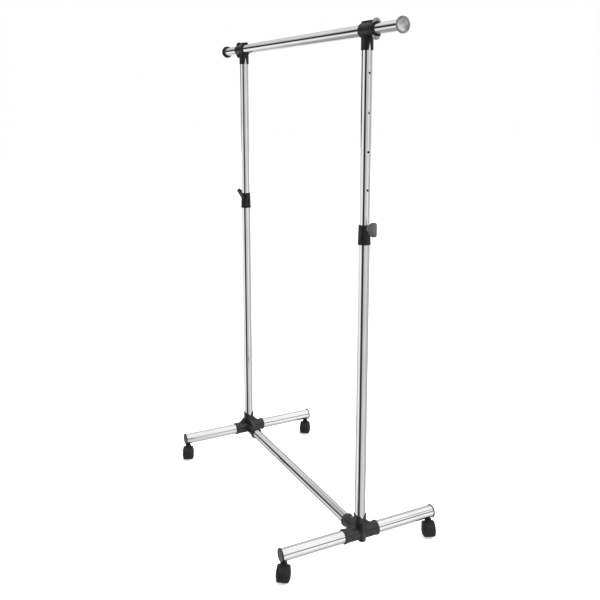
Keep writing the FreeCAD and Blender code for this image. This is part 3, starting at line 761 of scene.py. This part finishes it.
def dress_joints():
    """Set the connectors, collars, knobs, rings and caps down on both uprights."""
    connector = lower_connector()
    collar = height_collar()
    knob = wing_knob()
    tee = top_connector()
    ring = lock_ring()
    cap = rail_end_cap()
    cap_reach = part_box("rail_end_cap_near")[1].x
    for name, side in SIDES.items():
        set_down(connector, f"lower_connector_{name}", joint_place(side, FOOT_HEIGHT),
                 "base_frame", [SATIN_BLACK])
        set_down(collar, f"height_collar_{name}", joint_place(side, COLLAR_HEIGHT),
                 "base_frame", [BLACK])
        # The far knob's black plastic is painted shade.
        set_down(knob, f"wing_knob_{name}", joint_place(side, KNOB_HEIGHT, KNOB_LEAN[name]),
                 f"knob_{name}", [KNOB_SHADE_BY_SIDE[name]])
        set_down(tee, f"top_connector_{name}", joint_place(side, RAIL_HEIGHT),
                 "upper_frame", [BLACK])
        # The ring's black hub and inboard lobe faces are painted shade.
        set_down(ring, f"lock_ring_{name}", joint_place(side, RAIL_HEIGHT),
                 f"ring_{name}", [BLACK, EAR])
        outward = Matrix.Translation((side * (cap_reach - UPRIGHT), 0, 0))
        set_down(cap, f"rail_end_cap_{name}", outward @ joint_place(side, RAIL_HEIGHT),
                 f"extension_{name}", [BLACK, CAP_RIM, CAP_FACE])
    for pattern in (connector, collar, knob, tee, ring, cap):
        discard(pattern)


def dress_feet():
    """Set the end plugs, hoods and wheels down at the four corners."""
    plug = foot_plug()
    hood = caster_hood()
    wheel = caster_wheel()
    axle = Matrix.Translation((-TRAIL, 0, WHEEL_RADIUS))
    half_turn = Matrix.Rotation(math.pi, 4, "Z")
    for side_name, side in SIDES.items():
        for end_name, end in ENDS.items():
            corner = f"{side_name}_{end_name}"
            low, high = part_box(f"foot_plug_{corner}")
            face = high.y if end > 0 else low.y
            at_plug = Matrix.Translation((side * UPRIGHT, face, FOOT_HEIGHT))
            set_down(plug, f"foot_plug_{corner}", at_plug if end > 0 else at_plug @ half_turn,
                     "base_frame", [PLUG, BLACK])
            caster = f"caster_{corner}"
            where = caster_place(caster)
            set_down(hood, f"{caster}_hood", where, caster, [WHEEL])
            set_down(wheel, f"{caster}_wheel_a", where @ axle, f"{caster}_wheel_a",
                     [WHEEL])
            set_down(wheel, f"{caster}_wheel_b", where @ axle @ half_turn,
                     f"{caster}_wheel_b", [WHEEL])
    for pattern in (plug, hood, wheel):
        discard(pattern)


def dress_tubes():
    """Chrome the tubes, each along its own axis, and plate the small steel pieces."""
    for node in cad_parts:
        if node.startswith("foot_tube"):
            paint_node(node, CHROME["Y"])
        elif "upright" in node:
            paint_node(node, CHROME["Z"])
        elif "rail" in node and "cap" not in node:
            paint_node(node, CHROME["X"])
        elif node.endswith("stem"):
            paint_node(node, DARK_STEEL)
        elif node.endswith("axle") or "screw" in node:
            paint_node(node, STEEL)


dress_joints()
dress_feet()
dress_tubes()


# ---------------------------------------------------------------- studio and camera

def bearing(degrees):
    """Where a compass bearing lies on a ramp from -180 to 180 degrees."""
    return (degrees + 180) / 360


def rise(degrees):
    """Where an angle above the horizon lies on a ramp over the height, from -1 to 1."""
    return (math.sin(math.radians(degrees)) + 1) / 2


def greys(tree, source, place, stops):
    """Greys over the studio's walls, from (degrees, grey) stops that place puts on the ramp."""
    return ramp(tree, source, [(place(degrees), (grey,) * 3) for degrees, grey in stops])


def studio_walls(tree):
    """What reflections see: light walls with a dark gap and horizon, under a white ceiling."""
    place = tree.nodes.new("ShaderNodeTexCoord")
    parts = tree.nodes.new("ShaderNodeSeparateXYZ")
    tree.links.new(place.outputs["Generated"], parts.inputs["Vector"])
    compass = tree.nodes.new("ShaderNodeMath")
    compass.operation = "ARCTAN2"
    tree.links.new(parts.outputs["Y"], compass.inputs[0])
    tree.links.new(parts.outputs["X"], compass.inputs[1])
    azimuth = spread(tree, compass.outputs["Value"], 0, 1, (-math.pi, math.pi))
    height = spread(tree, parts.outputs["Z"], 0, 1, (-1, 1))

    around = greys(tree, azimuth, bearing, [
        (-180, 0.5), (-139, 0.5), (-122, 0.8), (-104, 0.97), (-85, 0.92), (-79, 0.4),
        (-73, 0.04), (-43, 0.02), (-34, 0.35), (-22, 0.62), (22, 0.66), (60, 0.5),
        (113, 0.5), (180, 0.6),
    ])
    side_wall = greys(tree, height, rise, [
        (-90, 0.8), (-36, 0.75), (-26, 1.0), (-2, 1.0), (6, 0.8), (8, 0.02), (17, 0.02),
        (20, 0.9), (28, 1.0),
    ])
    back_wall = greys(tree, height, rise, [
        (-90, 0.3), (-27, 0.3), (-23, 0.6), (-16, 0.9), (-9, 1.0), (-4, 0.7), (-1, 0.02),
        (10, 0.02), (14, 0.36), (20, 0.6), (27, 0.72), (34, 0.8), (41, 0.35), (46, 0.35),
        (52, 0.9),
    ])
    corner = greys(tree, height, rise, [
        (-90, 0.5), (-24, 0.6), (-14, 0.9), (-5, 0.7), (-1, 0.02), (10, 0.03), (18, 0.14),
        (28, 0.36), (38, 0.6),
    ])
    towards_side = greys(tree, azimuth, bearing, [(17, 0), (23, 1), (35, 1), (42, 0)])
    towards_back = greys(tree, azimuth, bearing, [
        (-180, 1), (-145, 1), (-130, 0), (130, 0), (150, 1),
    ])
    towards_corner = greys(tree, azimuth, bearing, [(-156, 0), (-152, 1), (-142, 1), (-134, 0)])
    overhead = greys(tree, height, rise, [(46, 0), (52, 1)])

    walls = mixed(tree, towards_side, around, side_wall)
    walls = mixed(tree, towards_back, walls, back_wall)
    walls = mixed(tree, towards_corner, walls, corner)
    return mixed(tree, overhead, walls, (1.0, 1.0, 1.0))


def studio_world():
    """White to the eye, soft white light on every surface, and the walls in reflections."""
    world = bpy.data.worlds.new("studio")
    bpy.context.scene.world = world
    world.use_nodes = True
    tree = world.node_tree
    tree.nodes.clear()
    rays = tree.nodes.new("ShaderNodeLightPath")
    seen = mixed(tree, rays.outputs["Is Glossy Ray"], (1.15, 1.15, 1.15), studio_walls(tree))
    seen = mixed(tree, rays.outputs["Is Camera Ray"], seen, (1.0, 1.0, 1.0))
    background = tree.nodes.new("ShaderNodeBackground")
    output = tree.nodes.new("ShaderNodeOutputWorld")
    tree.links.new(seen, background.inputs["Color"])
    tree.links.new(background.outputs["Background"], output.inputs["Surface"])


def studio_floor():
    """A plain pale floor that glows faintly and leaves reflections to the studio."""
    bpy.ops.mesh.primitive_plane_add(size=30.0)
    floor = bpy.context.object
    floor.name = "studio_floor"
    material, tree, shader = new_material("floor_paint", (0.93, 0.93, 0.93), 0.0, 0.9, 0.1)
    shade = ramp(tree, noise(tree, 1.5, 2), [(0.3, (0.92, 0.92, 0.92)), (0.7, (0.95, 0.95, 0.95))])
    tree.links.new(shade, shader.inputs["Base Color"])
    shader.inputs["Emission Color"].default_value = (1, 1, 1, 1)
    shader.inputs["Emission Strength"].default_value = 0.35
    floor.data.materials.append(material)
    floor.visible_glossy = False
    floor.visible_diffuse = False


def soft_light(name, place, target, size, power):
    """A square soft light at a place, facing a target, that reflections don't show."""
    lamp = bpy.data.lights.new(name, "AREA")
    lamp.size = size
    lamp.energy = power
    light = bpy.data.objects.new(name, lamp)
    bpy.context.scene.collection.objects.link(light)
    light.location = place
    light.rotation_euler = (Vector(target) - Vector(place)).to_track_quat("-Z", "Y").to_euler()
    light.visible_glossy = False


def photo_camera():
    """The camera: 45 mm lens, standing between collar and rail height, looking slightly down."""
    camera = bpy.data.cameras.new("camera")
    camera.lens = 45.14
    camera.sensor_width = 36.0
    camera.shift_y = -0.1
    holder = bpy.data.objects.new("camera", camera)
    bpy.context.scene.collection.objects.link(holder)
    heading = Vector((-0.891, 0.454, 0)).normalized()
    pitch = math.radians(10.39)
    sight = heading * math.cos(pitch) + Vector((0, 0, -math.sin(pitch)))
    holder.location = (1.892, -0.952, 1.169)
    holder.rotation_euler = sight.to_track_quat("-Z", "Y").to_euler()
    bpy.context.scene.camera = holder


studio_world()
studio_floor()
middle = (0, 0, RAIL_HEIGHT / 2)
soft_light("key", (1.6, 2.2, 2.4), middle, size=1.6, power=90)
soft_light("fill", (2.6, -2.2, 1.8), middle, size=2.0, power=18)
photo_camera()
bpy.context.scene.view_settings.view_transform = "Standard"
